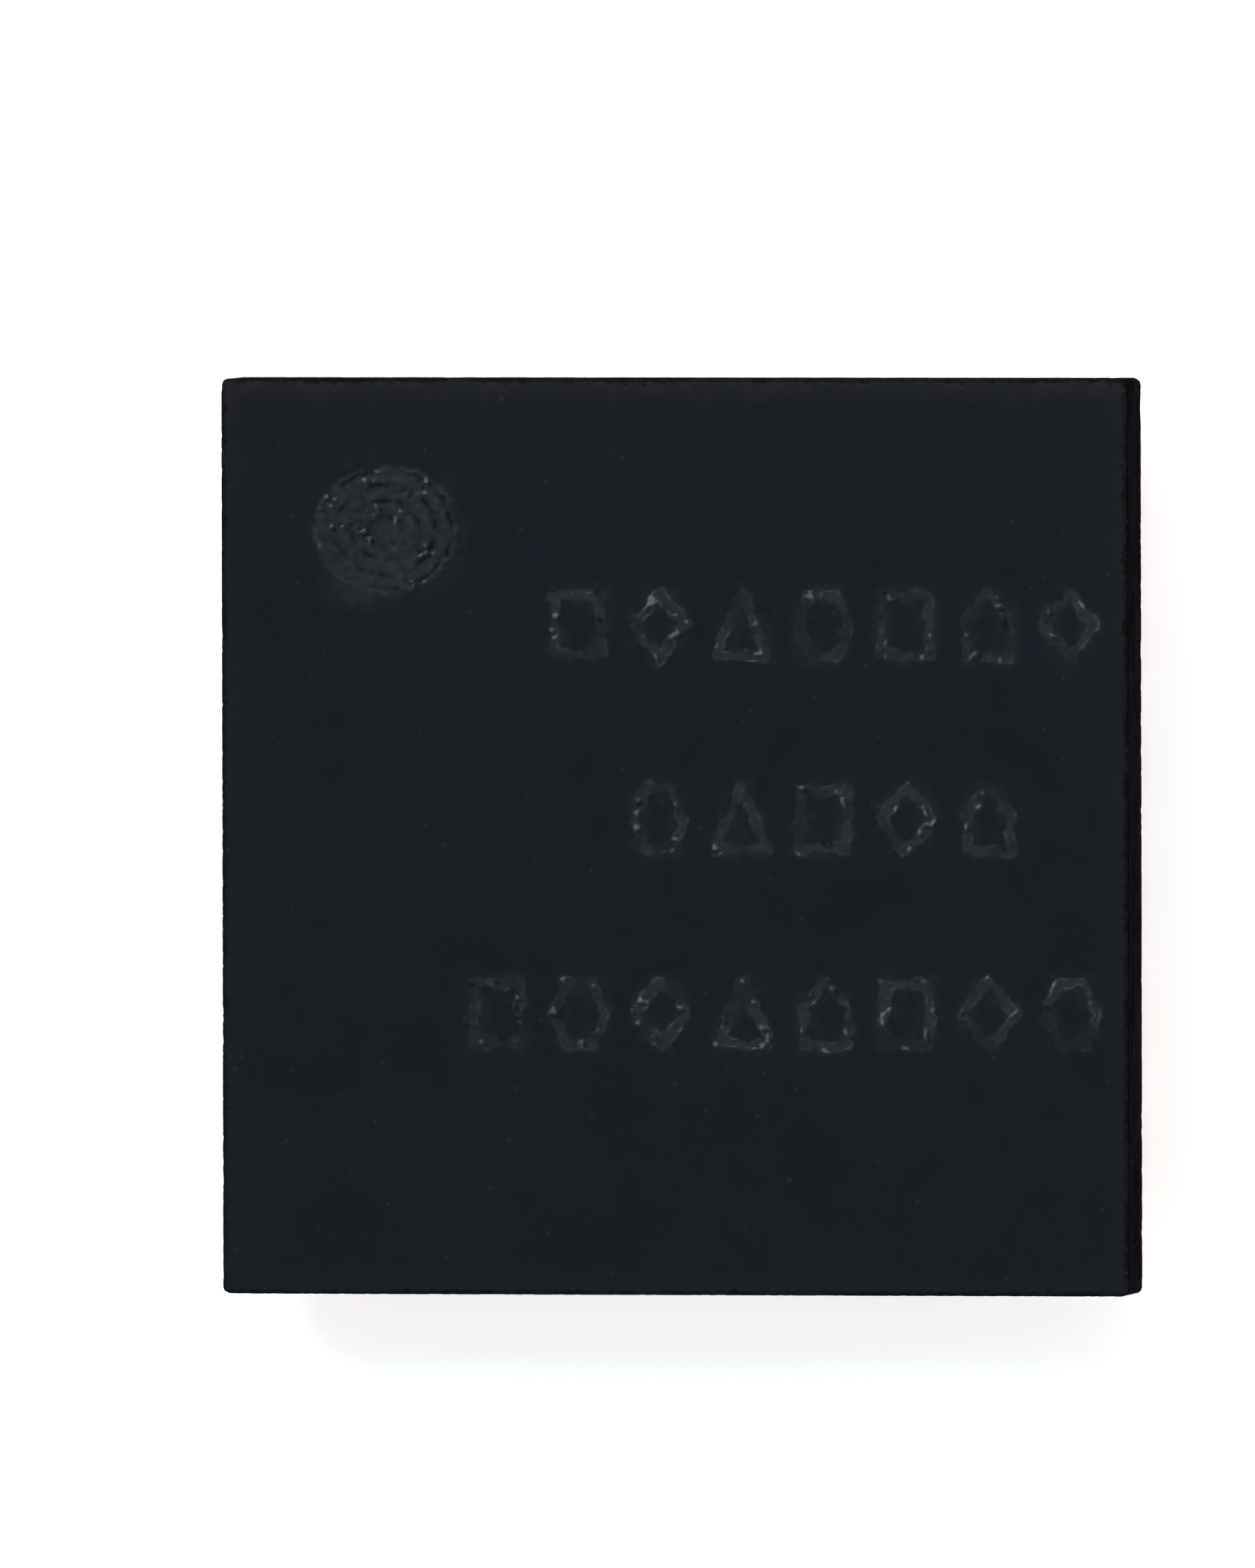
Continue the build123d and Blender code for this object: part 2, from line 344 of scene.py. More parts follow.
# Where the ring is burred most, with the most painted highlights on lumps and painted shadows in pits: place from its
# centre, and reach
MARK_BURR_HIGHLIGHTS = [
    (-0.065, -0.010, 0.055),
    (0.030, 0.042, 0.032),
    (0.068, 0.088, 0.038),
    (-0.155, 0.090, 0.050),
    (-0.050, 0.180, 0.048),
    (0.127, 0.134, 0.046),
    (-0.132, 0.004, 0.032),
    (0.110, -0.072, 0.034),
    (0.095, -0.142, 0.052),
    (-0.032, 0.068, 0.032),
]
SMEAR_CENTRE = Vector((-0.075, -0.190, 0))
GLYPH_WIDTH = 0.162
GLYPH_HEIGHT = 0.206
STROKE = 0.0145
# Plain outlines, as shares of a mark's width and height
SHAPES = {
    "box": [(-0.45, -0.45), (0.45, -0.45), (0.45, 0.45), (-0.45, 0.45)],
    "diamond": [(0, -0.5), (0.5, 0), (0, 0.5), (-0.5, 0)],
    "peak": [(-0.5, -0.45), (0.5, -0.45), (0, 0.5)],
    "house": [(-0.42, -0.48), (0.42, -0.48), (0.42, 0.08), (0, 0.5), (-0.42, 0.08)],
    "hexagon": [(-0.25, -0.47), (0.25, -0.47), (0.5, 0), (0.25, 0.47), (-0.25, 0.47), (-0.5, 0)],
}
# Rows of marks: height on the chip, first centre, pitch and shapes
MARK_ROWS = [
    (0.656, -0.300, 0.2566, ("box", "diamond", "peak", "hexagon", "box", "house", "diamond")),
    (0.056, -0.050, 0.2591, ("hexagon", "peak", "box", "diamond", "house")),
    (-0.547, -0.556, 0.2571, ("box", "hexagon", "diamond", "peak", "house", "box", "diamond", "hexagon")),
]


def outline(middle, shape):
    """Corner points of a mark's outline round its middle."""
    return [middle + Vector((x * GLYPH_WIDTH, y * GLYPH_HEIGHT, 0)) for x, y in SHAPES[shape]]


MARKS = [
    (Vector((first + pitch * i, height, 0)), outline(Vector((first + pitch * i, height, 0)), shape))
    for height, first, pitch, row in MARK_ROWS
    for i, shape in enumerate(row)
]


def off_line(place, start, end):
    """Distance of a place from a straight line between two points."""
    along = end - start
    share = min(max((place - start).dot(along) / along.length_squared, 0), 1)
    return (place - start - along * share).length


def lit_lumps_and_shaded_pits(flat, size, seed):
    """How bright the painted highlight on a lump is at a place, and how dark the painted shadow is in the pit that
    lies under its lower right.
    """
    above = flat + Vector((-0.7 * size, 0.7 * size, 0))
    return step(0.58, 0.74, rough(flat, size, seed)), step(0.60, 0.74, rough(above, size, seed))


def row_mark(place):
    """Shade and depth of the row marks at a place on the face, or nothing away from them."""
    flat = Vector((place.x, place.y, 0))
    for middle, corners in MARKS:
        aside, over = abs(flat.x - middle.x), abs(flat.y - middle.y)
        if aside < 0.1285 and over < 0.160:
            wobble = flat + Vector((rough(flat, 0.05, 3) - 0.5, rough(flat, 0.05, 9) - 0.5, 0)) * 0.026
            away = min(off_line(wobble, corners[i - 1], corners[i]) for i in range(len(corners)))
            width = STROKE * (0.55 + 0.90 * rough(flat, 0.080, 33))
            ragged = away + 0.012 * (rough(flat, 0.018, 35) - 0.5)
            scored = 1 - step(width - 0.004, width + 0.004, ragged)
            kept = step(0.36, 0.62, crumbled(flat, 0.085, 21))
            busy = step(0.42, 0.58, rough(flat, 0.075, 27))
            # painted highlights on lumps, and painted shadow in pits at their lower right, in busy stretches
            lump_and_highlight, pit_and_shadow = lit_lumps_and_shaded_pits(flat, 0.021, 2)
            lump_and_highlight *= scored * busy
            pit_and_shadow *= (1 - step(0.008, 0.024, away)) * busy
            # a painted highlight along the stroke's ragged edges
            burr_highlight = (1 - step(0.001, 0.007, abs(ragged - width))) * step(0.42, 0.58, rough(flat, 0.045, 25))
            fade = (1 - step(0.085, 0.1285, aside)) * (1 - step(0.110, 0.160, over))
            haze = 0.15 * fade * (1 - step(0.012, 0.070, away)) * step(0.38, 0.64, crumbled(flat, 0.045, 19))
            fill = scored * (0.16 + 0.30 * kept)
            shade = max(fill, haze) + 0.64 * lump_and_highlight + 0.42 * burr_highlight * (0.3 + 0.7 * kept) - 0.34 * pit_and_shadow
            return shade, scored * (0.5 + 0.5 * pit_and_shadow - 0.4 * lump_and_highlight)
    return None


def ring_mark(place):
    """Shade and depth of the ringed first-ball mark at a place on the face, or nothing away from it."""
    flat = Vector((place.x, place.y, 0)) - MARK_CENTRE
    flat.x /= MARK_STRETCH
    radius = flat.length + 0.016 * (rough(flat, 0.06, 7) - 0.5)
    if radius > MARK_RADIUS + 0.09:
        return None
    # the rings are cut as grooves, which come and go in short arcs and are nearly gone at the lower left; the grooves
    # are painted darker as shade, and the ridges between them paler as a painted highlight
    wave = 0.5 - 0.5 * math.cos(math.tau * radius / MARK_PITCH)
    worn = step(-0.10, 0.12, flat.x + 0.6 * flat.y + 0.12)
    kept = step(0.30, 0.46, crumbled(flat, 0.070, 11)) * (0.30 + 0.70 * worn) * (0.35 + 0.65 * step(0.040, 0.080, radius))
    groove_and_shade = (1 - step(0.02, 0.26, wave)) * kept * step(0.32, 0.48, rough(flat, 0.045, 15))
    ridge_highlight = step(0.45, 0.90, wave) * kept * step(0.36, 0.60, rough(flat, 0.035, 12))
    ragged = radius + 0.022 * (rough(flat, 0.020, 8) - 0.5)
    inside = 1 - step(MARK_RADIUS - 0.014, MARK_RADIUS + 0.004, ragged)
    rim = inside * step(MARK_RADIUS - 0.026, MARK_RADIUS - 0.014, ragged) * step(0.40, 0.56, rough(flat, 0.045, 37))
    busy = max(1 - step(0.4 * reach, reach, math.hypot(flat.x - x, flat.y - y)) for x, y, reach in MARK_BURR_HIGHLIGHTS)
    # painted highlights on lumps, and painted shadow in pits at their lower right, mostly where the burrs cluster
    lump_and_highlight, pit_and_shadow = lit_lumps_and_shaded_pits(flat, 0.017, 4)
    lump_and_highlight *= 0.20 + 0.80 * busy
    pit_and_shadow *= 0.20 + 0.80 * busy
    fill = 0.18 + 0.12 * step(0.34, 0.66, crumbled(flat, 0.080, 5)) + 0.18 * step(0.30, 0.80, rough(flat, 0.020, 39))
    away = flat - SMEAR_CENTRE
    patch = 1 - step(0.030, 0.085, math.hypot(away.x / 1.7, away.y))
    smear = patch * (0.07 + 0.14 * step(0.36, 0.60, crumbled(flat, 0.045, 17)))
    haze = 0.11 * (1 - step(0.0, 0.07, radius - MARK_RADIUS)) * step(0.40, 0.64, crumbled(flat, 0.045, 29))
    shade = inside * (fill + 0.17 * ridge_highlight + 0.26 * rim + 0.75 * lump_and_highlight - 0.50 * groove_and_shade - 0.50 * pit_and_shadow)
    return shade + (smear + haze) * (1 - inside), inside * (0.4 + 0.6 * groove_and_shade + 0.3 * pit_and_shadow - 0.4 * lump_and_highlight)


def laser(place):
    """Shade and depth of the marks at a place on the film. A shade over 0 is paler, with painted highlights at its
    palest, and one under 0 is painted shadow in the pits and grooves.
    """
    if place.z < film_high.z - 0.004:
        return 0.0, 0.0
    return row_mark(place) or ring_mark(place) or (0.0, 0.0)


def is_marked(place):
    """Whether a place on the face lies in or close to a mark."""
    if (Vector((place.x, place.y, 0)) - MARK_CENTRE).length < MARK_RADIUS + 0.10:
        return True
    for height, first, pitch, row in MARK_ROWS:
        last = first + pitch * (len(row) - 1)
        if abs(place.y - height) < 0.16 and first - 0.14 < place.x < last + 0.14:
            return True
    return False


def from_edge(place, half):
    """Distance of a place in from the outline of a block."""
    return half - max(abs(place.x), abs(place.y))


# Materials

def new_material(name):
    """A material with its main shader and an object coordinate in millimetres."""
    material = bpy.data.materials.new(name)
    material.use_nodes = True
    nodes, links = material.node_tree.nodes, material.node_tree.links
    nodes.clear()
    output = nodes.new("ShaderNodeOutputMaterial")
    shader = nodes.new("ShaderNodeBsdfPrincipled")
    links.new(shader.outputs[0], output.inputs["Surface"])
    place = nodes.new("ShaderNodeTexCoord")
    scale = nodes.new("ShaderNodeMapping")
    scale.inputs["Scale"].default_value = (1 / MM,) * 3
    links.new(place.outputs["Object"], scale.inputs["Vector"])
    return material, nodes, links, shader, scale.outputs[0]


def make_node(tree, kind, inputs=(), **settings):
    """Add a node, set its properties, and give its sockets numbers or links."""
    node = tree.nodes.new(kind)
    for key, value in settings.items():
        setattr(node, key, value)
    for key, value in dict(inputs).items():
        if isinstance(value, bpy.types.NodeSocket):
            tree.links.new(value, node.inputs[key])
        else:
            node.inputs[key].default_value = value
    return node


def math_node(tree, operation, first, second=0.0, clamp=False):
    """Join two values with a math node."""
    return make_node(tree, "ShaderNodeMath", {0: first, 1: second}, operation=operation, use_clamp=clamp).outputs[0]


def spread(tree, value, low, high, to_low=0.0, to_high=1.0):
    """Map a value from one range to another, held at its ends."""
    node = make_node(
        tree,
        "ShaderNodeMapRange",
        {"Value": value, "From Min": low, "From Max": high, "To Min": to_low, "To Max": to_high},
        clamp=True,
    )
    return node.outputs[0]


def blend(tree, share, first, second):
    """Mix two colours by a value."""
    node = tree.nodes.new("ShaderNodeMix")
    node.data_type = "RGBA"
    for key, value in ((0, share), (6, first), (7, second)):
        if isinstance(value, bpy.types.NodeSocket):
            tree.links.new(value, node.inputs[key])
        else:
            node.inputs[key].default_value = value if key == 0 else (*value, 1)
    return node.outputs[2]


def grain_group():
    """Mottled and speckled masks, shared by all the finishes."""
    name = "Grain"
    if name in bpy.data.node_groups:
        return bpy.data.node_groups[name]
    group = bpy.data.node_groups.new(name, "ShaderNodeTree")
    for label, kind, default in (
        ("Place", "NodeSocketVector", None),
        ("Mottle Size", "NodeSocketFloat", 0.1),
        ("Speck Size", "NodeSocketFloat", 0.02),
        ("Speck Share", "NodeSocketFloat", 0.1),
    ):
        socket = group.interface.new_socket(label, in_out="INPUT", socket_type=kind)
        if default is not None:
            socket.default_value = default
    for label in ("Mottle", "Specks", "Fine"):
        group.interface.new_socket(label, in_out="OUTPUT", socket_type="NodeSocketFloat")
    inner = group.nodes.new("NodeGroupInput")
    outer = group.nodes.new("NodeGroupOutput")
    place = inner.outputs["Place"]
    mottle_scale = math_node(group, "DIVIDE", 1.0, inner.outputs["Mottle Size"])
    speck_scale = math_node(group, "DIVIDE", 1.0, inner.outputs["Speck Size"])
    mottle = make_node(
        group, "ShaderNodeTexNoise", {"Vector": place, "Scale": mottle_scale, "Detail": 4.0, "Roughness": 0.6}
    )
    cells = make_node(group, "ShaderNodeTexVoronoi", {"Vector": place, "Scale": speck_scale}, feature="F1")
    drawn = make_node(group, "ShaderNodeSeparateColor", {0: cells.outputs["Color"]})
    kept = math_node(group, "LESS_THAN", drawn.outputs[0], inner.outputs["Speck Share"])
    dot = spread(group, cells.outputs["Distance"], 0.45, 0.12)
    specks = math_node(group, "MULTIPLY", kept, dot)
    size = spread(group, drawn.outputs[1], 0.0, 1.0, 0.25, 1.0)
    fine = make_node(group, "ShaderNodeTexNoise", {"Vector": place, "Scale": 160.0, "Detail": 3.0, "Roughness": 0.6})
    group.links.new(mottle.outputs[0], outer.inputs["Mottle"])
    group.links.new(math_node(group, "MULTIPLY", specks, size), outer.inputs["Specks"])
    group.links.new(fine.outputs[0], outer.inputs["Fine"])
    return group


def grain(tree, place, mottle_size, speck_size, speck_share):
    """Place the shared masks in a material with its own sizes."""
    node = tree.nodes.new("ShaderNodeGroup")
    node.node_tree = grain_group()
    tree.links.new(place, node.inputs["Place"])
    node.inputs["Mottle Size"].default_value = mottle_size
    node.inputs["Speck Size"].default_value = speck_size
    node.inputs["Speck Share"].default_value = speck_share
    return node


def bump(tree, height, depth, strength=1.0, under=None):
    """Turn a height into a normal. Depth is in metres."""
    inputs = {"Height": height, "Distance": depth, "Strength": strength}
    if under is not None:
        inputs["Normal"] = under
    return make_node(tree, "ShaderNodeBump", inputs).outputs[0]


def film_material(settings):
    """Matt black film with faint mottling, specks, lasered grey marks with painted highlights and shadows, and a
    browner sawn edge with a painted highlight.
    """
    material, nodes, links, shader, place = new_material("backside_film")
    tree = material.node_tree
    masks = grain(tree, place, 0.22, 0.020, 0.014)
    base = tuple(settings.colour)
    lighter = tuple(1.20 * c + 0.0004 for c in base)
    colour = blend(tree, spread(tree, masks.outputs["Mottle"], 0.35, 0.75), base, lighter)
    # along the outline a paler, browner band in patches, a painted highlight on the sawn edge that is strongest along
    # the row a side
    parts = make_node(tree, "ShaderNodeSeparateXYZ", {0: place})
    across = math_node(tree, "ABSOLUTE", parts.outputs[0])
    along = math_node(tree, "ABSOLUTE", parts.outputs[1])
    outward = math_node(tree, "MAXIMUM", across, along)
    patches = make_node(
        tree, "ShaderNodeTexNoise", {"Vector": place, "Scale": 12.0, "Detail": 6.0, "Roughness": 0.70}
    )
    edge_band = spread(tree, outward, HALF - 0.085, HALF - 0.020)
    highlight_toward_row_a = spread(tree, parts.outputs[1], HALF - 0.14, HALF - 0.03, 0.16, 1.0)
    edge_highlight_share = math_node(tree, "MULTIPLY", edge_band, spread(tree, patches.outputs[0], 0.36, 0.64, 0.25, 1.0))
    colour = blend(tree, math_node(tree, "MULTIPLY", edge_highlight_share, highlight_toward_row_a), colour, (0.0165, 0.0158, 0.0180))
    # the very edge is nibbled, in dark crumbs
    crumbs = make_node(tree, "ShaderNodeTexNoise", {"Vector": place, "Scale": 45.0, "Detail": 3.0, "Roughness": 0.6})
    nibbled = math_node(tree, "ADD", outward, spread(tree, crumbs.outputs[0], 0.3, 0.7, -0.012, 0.012))
    edge_line = spread(tree, nibbled, HALF - 0.017, HALF - 0.009)
    line_share = math_node(tree, "MULTIPLY", edge_line, spread(tree, patches.outputs[0], 0.42, 0.56, 0.15, 0.85))
    colour = blend(tree, line_share, colour, (0.0042, 0.0040, 0.0046))
    # laser marks, whose palest parts are mostly painted highlights and whose parts darker than the film are painted
    # shadows
    mark = make_node(tree, "ShaderNodeAttribute", attribute_name="laser")
    uneven = spread(tree, masks.outputs["Fine"], 0.3, 0.7, 0.70, 1.15)
    marked = math_node(tree, "MULTIPLY", mark.outputs["Fac"], uneven, clamp=True)
    colour = blend(tree, marked, colour, tuple(settings.mark_colour))
    # painted highlights on lumps, burrs and ridges, then painted shadow in pits and grooves
    colour = blend(tree, spread(tree, mark.outputs["Fac"], 0.60, 1.20), colour, (0.115, 0.120, 0.130))
    colour = blend(tree, spread(tree, mark.outputs["Fac"], 0.0, -0.4), colour, (0.0022, 0.0026, 0.0034))
    # dust and nicks
    colour = blend(tree, math_node(tree, "MULTIPLY", masks.outputs["Specks"], 0.30), colour, (0.040, 0.044, 0.052))
    links.new(colour, shader.inputs["Base Color"])
    # the sawn side is rougher than the face
    rough_face = spread(tree, masks.outputs["Mottle"], 0.3, 0.7, 0.56, 0.66)
    rough_side = spread(tree, outward, HALF - 0.014, HALF - 0.006, 0.0, 0.44)
    links.new(math_node(tree, "ADD", rough_face, rough_side, clamp=True), shader.inputs["Roughness"])
    shader.inputs["Specular IOR Level"].default_value = 0.04
    fine = bump(tree, masks.outputs["Fine"], 0.8e-6)
    pitted = bump(tree, math_node(tree, "MULTIPLY", masks.outputs["Mottle"], mark.outputs["Fac"]), 3e-6, under=fine)
    links.new(pitted, shader.inputs["Normal"])
    return material


def silicon_material(settings):
    """Sawn silicon: dark grey, with fine lines along the cut, small painted glints and a browner step and ball side.
    """
    material, nodes, links, shader, place = new_material("silicon")
    tree = material.node_tree
    masks = grain(tree, place, 0.16, 0.012, 0.03)
    base = tuple(settings.colour)
    darker = tuple(0.35 * c for c in base)
    colour = blend(tree, spread(tree, masks.outputs["Mottle"], 0.40, 0.62), darker, base)
    # saw lines run along the wall
    stretch = make_node(tree, "ShaderNodeMapping", {"Vector": place, "Scale": (2.2, 2.2, 150.0)})
    lines = make_node(tree, "ShaderNodeTexNoise", {"Vector": stretch.outputs[0], "Scale": 1.0, "Detail": 4.0})
    colour = blend(tree, spread(tree, lines.outputs[0], 0.42, 0.62, 0.0, 0.7), colour, tuple(2.6 * c for c in base))
    # the wall over the step is scorched dark red by the first cut, the step and the ball side brown
    height = make_node(tree, "ShaderNodeSeparateXYZ", {0: place}).outputs[2]
    uneven = spread(tree, masks.outputs["Mottle"], 0.30, 0.70, 0.45, 1.0)
    step_top = die_low.z + settings.step_height / MM
    over_step = spread(tree, height, step_top + 0.060, step_top + 0.020)
    colour = blend(tree, math_node(tree, "MULTIPLY", over_step, uneven), colour, tuple(settings.scorched))
    on_step = spread(tree, height, step_top + 0.007, step_top + 0.001)
    colour = blend(tree, math_node(tree, "MULTIPLY", on_step, uneven), colour, tuple(settings.step_colour))
    # where the film's edge lies back, the die's top is painted dark as shade, and shows as a thin dark line
    painted_shade_at_top = spread(tree, height, die_high.z - 0.003, die_high.z - 0.001)
    colour = blend(tree, painted_shade_at_top, colour, (0.0056, 0.0054, 0.0060))
    # small painted glints, pale specks on the wall
    painted_glint = math_node(tree, "MULTIPLY", masks.outputs["Specks"], 0.45)
    colour = blend(tree, painted_glint, colour, (0.20, 0.19, 0.185))
    links.new(colour, shader.inputs["Base Color"])
    links.new(spread(tree, lines.outputs[0], 0.35, 0.65, 0.75, 0.60), shader.inputs["Roughness"])
    shader.inputs["Specular IOR Level"].default_value = 0.0
    first = bump(tree, lines.outputs[0], 2.5e-6)
    second = bump(tree, masks.outputs["Fine"], 1.4e-6, under=first)
    links.new(second, shader.inputs["Normal"])
    return material


def polyimide_material(settings, name, copper_face, bare_face, rim):
    """Polyimide: orange where it rises over copper, dark maroon where it lies on silicon, with a painted highlight
    along its embossed edges, and darker at its rim.
    """
    material, nodes, links, shader, place = new_material(name)
    tree = material.node_tree
    masks = grain(tree, place, 0.30, 0.022, 0.03)
    parts = make_node(tree, "ShaderNodeSeparateXYZ", {0: place})
    across = math_node(tree, "ABSOLUTE", parts.outputs[0])
    along = math_node(tree, "ABSOLUTE", parts.outputs[1])
    outward = math_node(tree, "MAXIMUM", across, along)
    raised = spread(tree, parts.outputs[2], bare_face - 0.0012, copper_face + 0.0012)
    copper = tuple(settings.over_copper)
    redder = (copper[0] * 0.80, copper[1] * 0.66, copper[2] * 0.55)
    over = blend(tree, spread(tree, masks.outputs["Mottle"], 0.35, 0.68), redder, copper)
    bare = tuple(settings.bare)
    under = blend(tree, spread(tree, masks.outputs["Mottle"], 0.35, 0.68), tuple(0.55 * c for c in bare), bare)
    colour = blend(tree, raised, under, over)
    # the embossed slopes get a painted highlight of bright orange
    slope = spread(tree, math_node(tree, "ABSOLUTE", math_node(tree, "SUBTRACT", raised, 0.62)), 0.34, 0.08)
    colour = blend(tree, math_node(tree, "MULTIPLY", slope, 0.75), colour, (0.90, 0.42, 0.12))
    dimple = make_node(tree, "ShaderNodeAttribute", attribute_name="dimple")
    colour = blend(tree, math_node(tree, "MULTIPLY", dimple.outputs["Fac"], 0.7), colour, (0.20, 0.055, 0.018))
    at_rim = spread(tree, outward, rim - 0.006, rim - 0.001)
    colour = blend(tree, math_node(tree, "MULTIPLY", at_rim, 0.92), colour, (0.075, 0.020, 0.010))
    colour = blend(tree, math_node(tree, "MULTIPLY", masks.outputs["Specks"], 0.6), colour, (0.30, 0.10, 0.04))
    links.new(colour, shader.inputs["Base Color"])
    links.new(spread(tree, masks.outputs["Mottle"], 0.3, 0.7, 0.22, 0.36), shader.inputs["Roughness"])
    links.new(spread(tree, raised, 0.0, 1.0, 0.0, 0.30), shader.inputs["Metallic"])
    shader.inputs["Specular IOR Level"].default_value = 0.15
    shader.inputs["Coat Weight"].default_value = 0.08
    shader.inputs["Coat Roughness"].default_value = 0.18
    links.new(bump(tree, masks.outputs["Mottle"], 5e-6), shader.inputs["Normal"])
    return material


def tin_material(settings):
    """Dull tin with a crinkled skin: each facet has its own grey, and the folds between them are painted darker as
    shade.
    """
    material, nodes, links, shader, place = new_material("solder")
    tree = material.node_tree
    masks = grain(tree, place, 0.045, 0.012, 0.08)
    base = tuple(settings.colour)
    facet = make_node(tree, "ShaderNodeAttribute", attribute_name="facet")
    colour = blend(tree, facet.outputs["Fac"], tuple(0.62 * c for c in base), base)
    # painted shade in the folds between the facets
    fold = make_node(tree, "ShaderNodeAttribute", attribute_name="fold")
    colour = blend(tree, math_node(tree, "MULTIPLY", fold.outputs["Fac"], 0.80), colour, tuple(0.26 * c for c in base))
    colour = blend(tree, math_node(tree, "MULTIPLY", masks.outputs["Specks"], 0.5), colour, (0.82, 0.81, 0.79))
    links.new(colour, shader.inputs["Base Color"])
    shader.inputs["Metallic"].default_value = 1.0
    links.new(spread(tree, masks.outputs["Mottle"], 0.3, 0.7, 0.28, 0.50), shader.inputs["Roughness"])
    skin = bump(tree, masks.outputs["Mottle"], 6e-6)
    links.new(bump(tree, masks.outputs["Fine"], 0.9e-6, under=skin), shader.inputs["Normal"])
    return material


def metal_material(name, colour, roughness):
    """Plated metal with a faint grain."""
    material, nodes, links, shader, place = new_material(name)
    tree = material.node_tree
    masks = grain(tree, place, 0.05, 0.012, 0.05)
    mixed = blend(tree, spread(tree, masks.outputs["Mottle"], 0.35, 0.7), tuple(0.75 * c for c in colour), colour)
    links.new(mixed, shader.inputs["Base Color"])
    shader.inputs["Metallic"].default_value = 1.0
    low, high = roughness
    links.new(spread(tree, masks.outputs["Mottle"], 0.3, 0.7, low, high), shader.inputs["Roughness"])
    links.new(bump(tree, masks.outputs["Fine"], 0.8e-6), shader.inputs["Normal"])
    return material


def seen_directly(tree):
    """1 where the camera, a reflection or a clear piece shows a background, and 0 where it only gives light."""
    ray = tree.nodes.new("ShaderNodeLightPath")
    reflected = math_node(tree, "MAXIMUM", ray.outputs["Is Glossy Ray"], ray.outputs["Is Transmission Ray"])
    return math_node(tree, "MAXIMUM", ray.outputs["Is Camera Ray"], reflected)


def floor_material(colour):
    """Pale floor that can't be seen from below."""
    material = bpy.data.materials.new("floor")
    material.use_nodes = True
    tree = material.node_tree
    tree.nodes.clear()
    output = tree.nodes.new("ShaderNodeOutputMaterial")
    paper = make_node(tree, "ShaderNodeBsdfPrincipled", {"Base Color": (*colour, 1), "Roughness": 0.9})
    paper.inputs["Specular IOR Level"].default_value = 0.0
    # as a background it is a little lifted near the chip, where its shadow lies, and white farther out
    place = tree.nodes.new("ShaderNodeTexCoord")
    away = make_node(tree, "ShaderNodeVectorMath", {0: place.outputs["Object"]}, operation="LENGTH").outputs["Value"]
    lift = math_node(tree, "MULTIPLY", seen_directly(tree), spread(tree, away, 0.004, 0.016, 0.44, 1.0))
    glow = make_node(tree, "ShaderNodeEmission", {"Color": (0.91, 0.98, 1, 1), "Strength": lift})
    pale = make_node(tree, "ShaderNodeAddShader", {0: paper.outputs[0], 1: glow.outputs[0]})
    clear = tree.nodes.new("ShaderNodeBsdfTransparent")
    side = tree.nodes.new("ShaderNodeNewGeometry")
    mixed = make_node(tree, "ShaderNodeMixShader", {0: side.outputs["Backfacing"], 1: pale.outputs[0]})
    tree.links.new(clear.outputs[0], mixed.inputs[2])
    tree.links.new(mixed.outputs[0], output.inputs["Surface"])
    return material


# Operators, one for each piece or group

class CHIP_OT_film(Operator):
    """Add the black film with its sawn edge and its laser marks"""

    bl_idname = "chip.film"
    bl_label = "Backside film"

    def execute(self, context):
        settings = context.scene.chip_film
        cells = 71
        cell = 2 * HALF / cells
        ready()
        bpy.ops.mesh.primitive_grid_add(
            x_subdivisions=cells, y_subdivisions=cells, size=2 * HALF, location=(0, 0, film_high.z)
        )
        film = added("film")
        choose(
            film,
            "FACE",
            lambda face: is_marked(face.calc_center_median()) or from_edge(face.calc_center_median(), HALF) < cell,
        )
        bpy.ops.mesh.subdivide(number_cuts=6)
        choose_rim(film)
        # the first row lies lower than the edge will be pressed, and the side leans in out of sight
        first_row = 1.2 * settings.edge_drop / MM
        draw_down(first_row, 1, 0.17)
        draw_down(film_high.z - film_low.z - first_row, 4, 0.17)
        bpy.ops.mesh.edge_face_add()
        bpy.ops.mesh.select_all(action="SELECT")
        bpy.ops.mesh.normals_make_consistent(inside=False)
        bpy.ops.object.mode_set(mode="OBJECT")
        round_corners(film, HALF, settings.corner_radius / MM)

        width, drop = settings.edge_width / MM, settings.edge_drop / MM
        # the marks' shade, with their painted highlights and shadows, kept for the material
        note(film, "laser", lambda p: laser(p)[0])
        weigh(film, "marks", lambda p: laser(p)[1])
        weigh(
            film,
            "slope",
            lambda p: (p.z > film_high.z - 1e-4)
            * (1 - step(0, width * (0.4 + 1.2 * crumbled(p, 0.028, 31)), from_edge(p, HALF)))
            * (0.35 + 0.65 * crumbled(p, 0.024, 33)),
        )
        weigh(
            film,
            "ragged",
            lambda p: (p.z > film_low.z + 1e-4)
            * (1 - step(0.002, 0.016, from_edge(p, HALF)))
            * step(0.48, 0.78, crumbled(p, 0.026, 35)),
        )
        press(film, "marks", settings.mark_depth / MM, "Z")
        press(film, "ragged", 0.0025)
        press(film, "slope", drop, "Z")
        hand_over(film, film_material(settings), ["backside_film"])
        return {"FINISHED"}


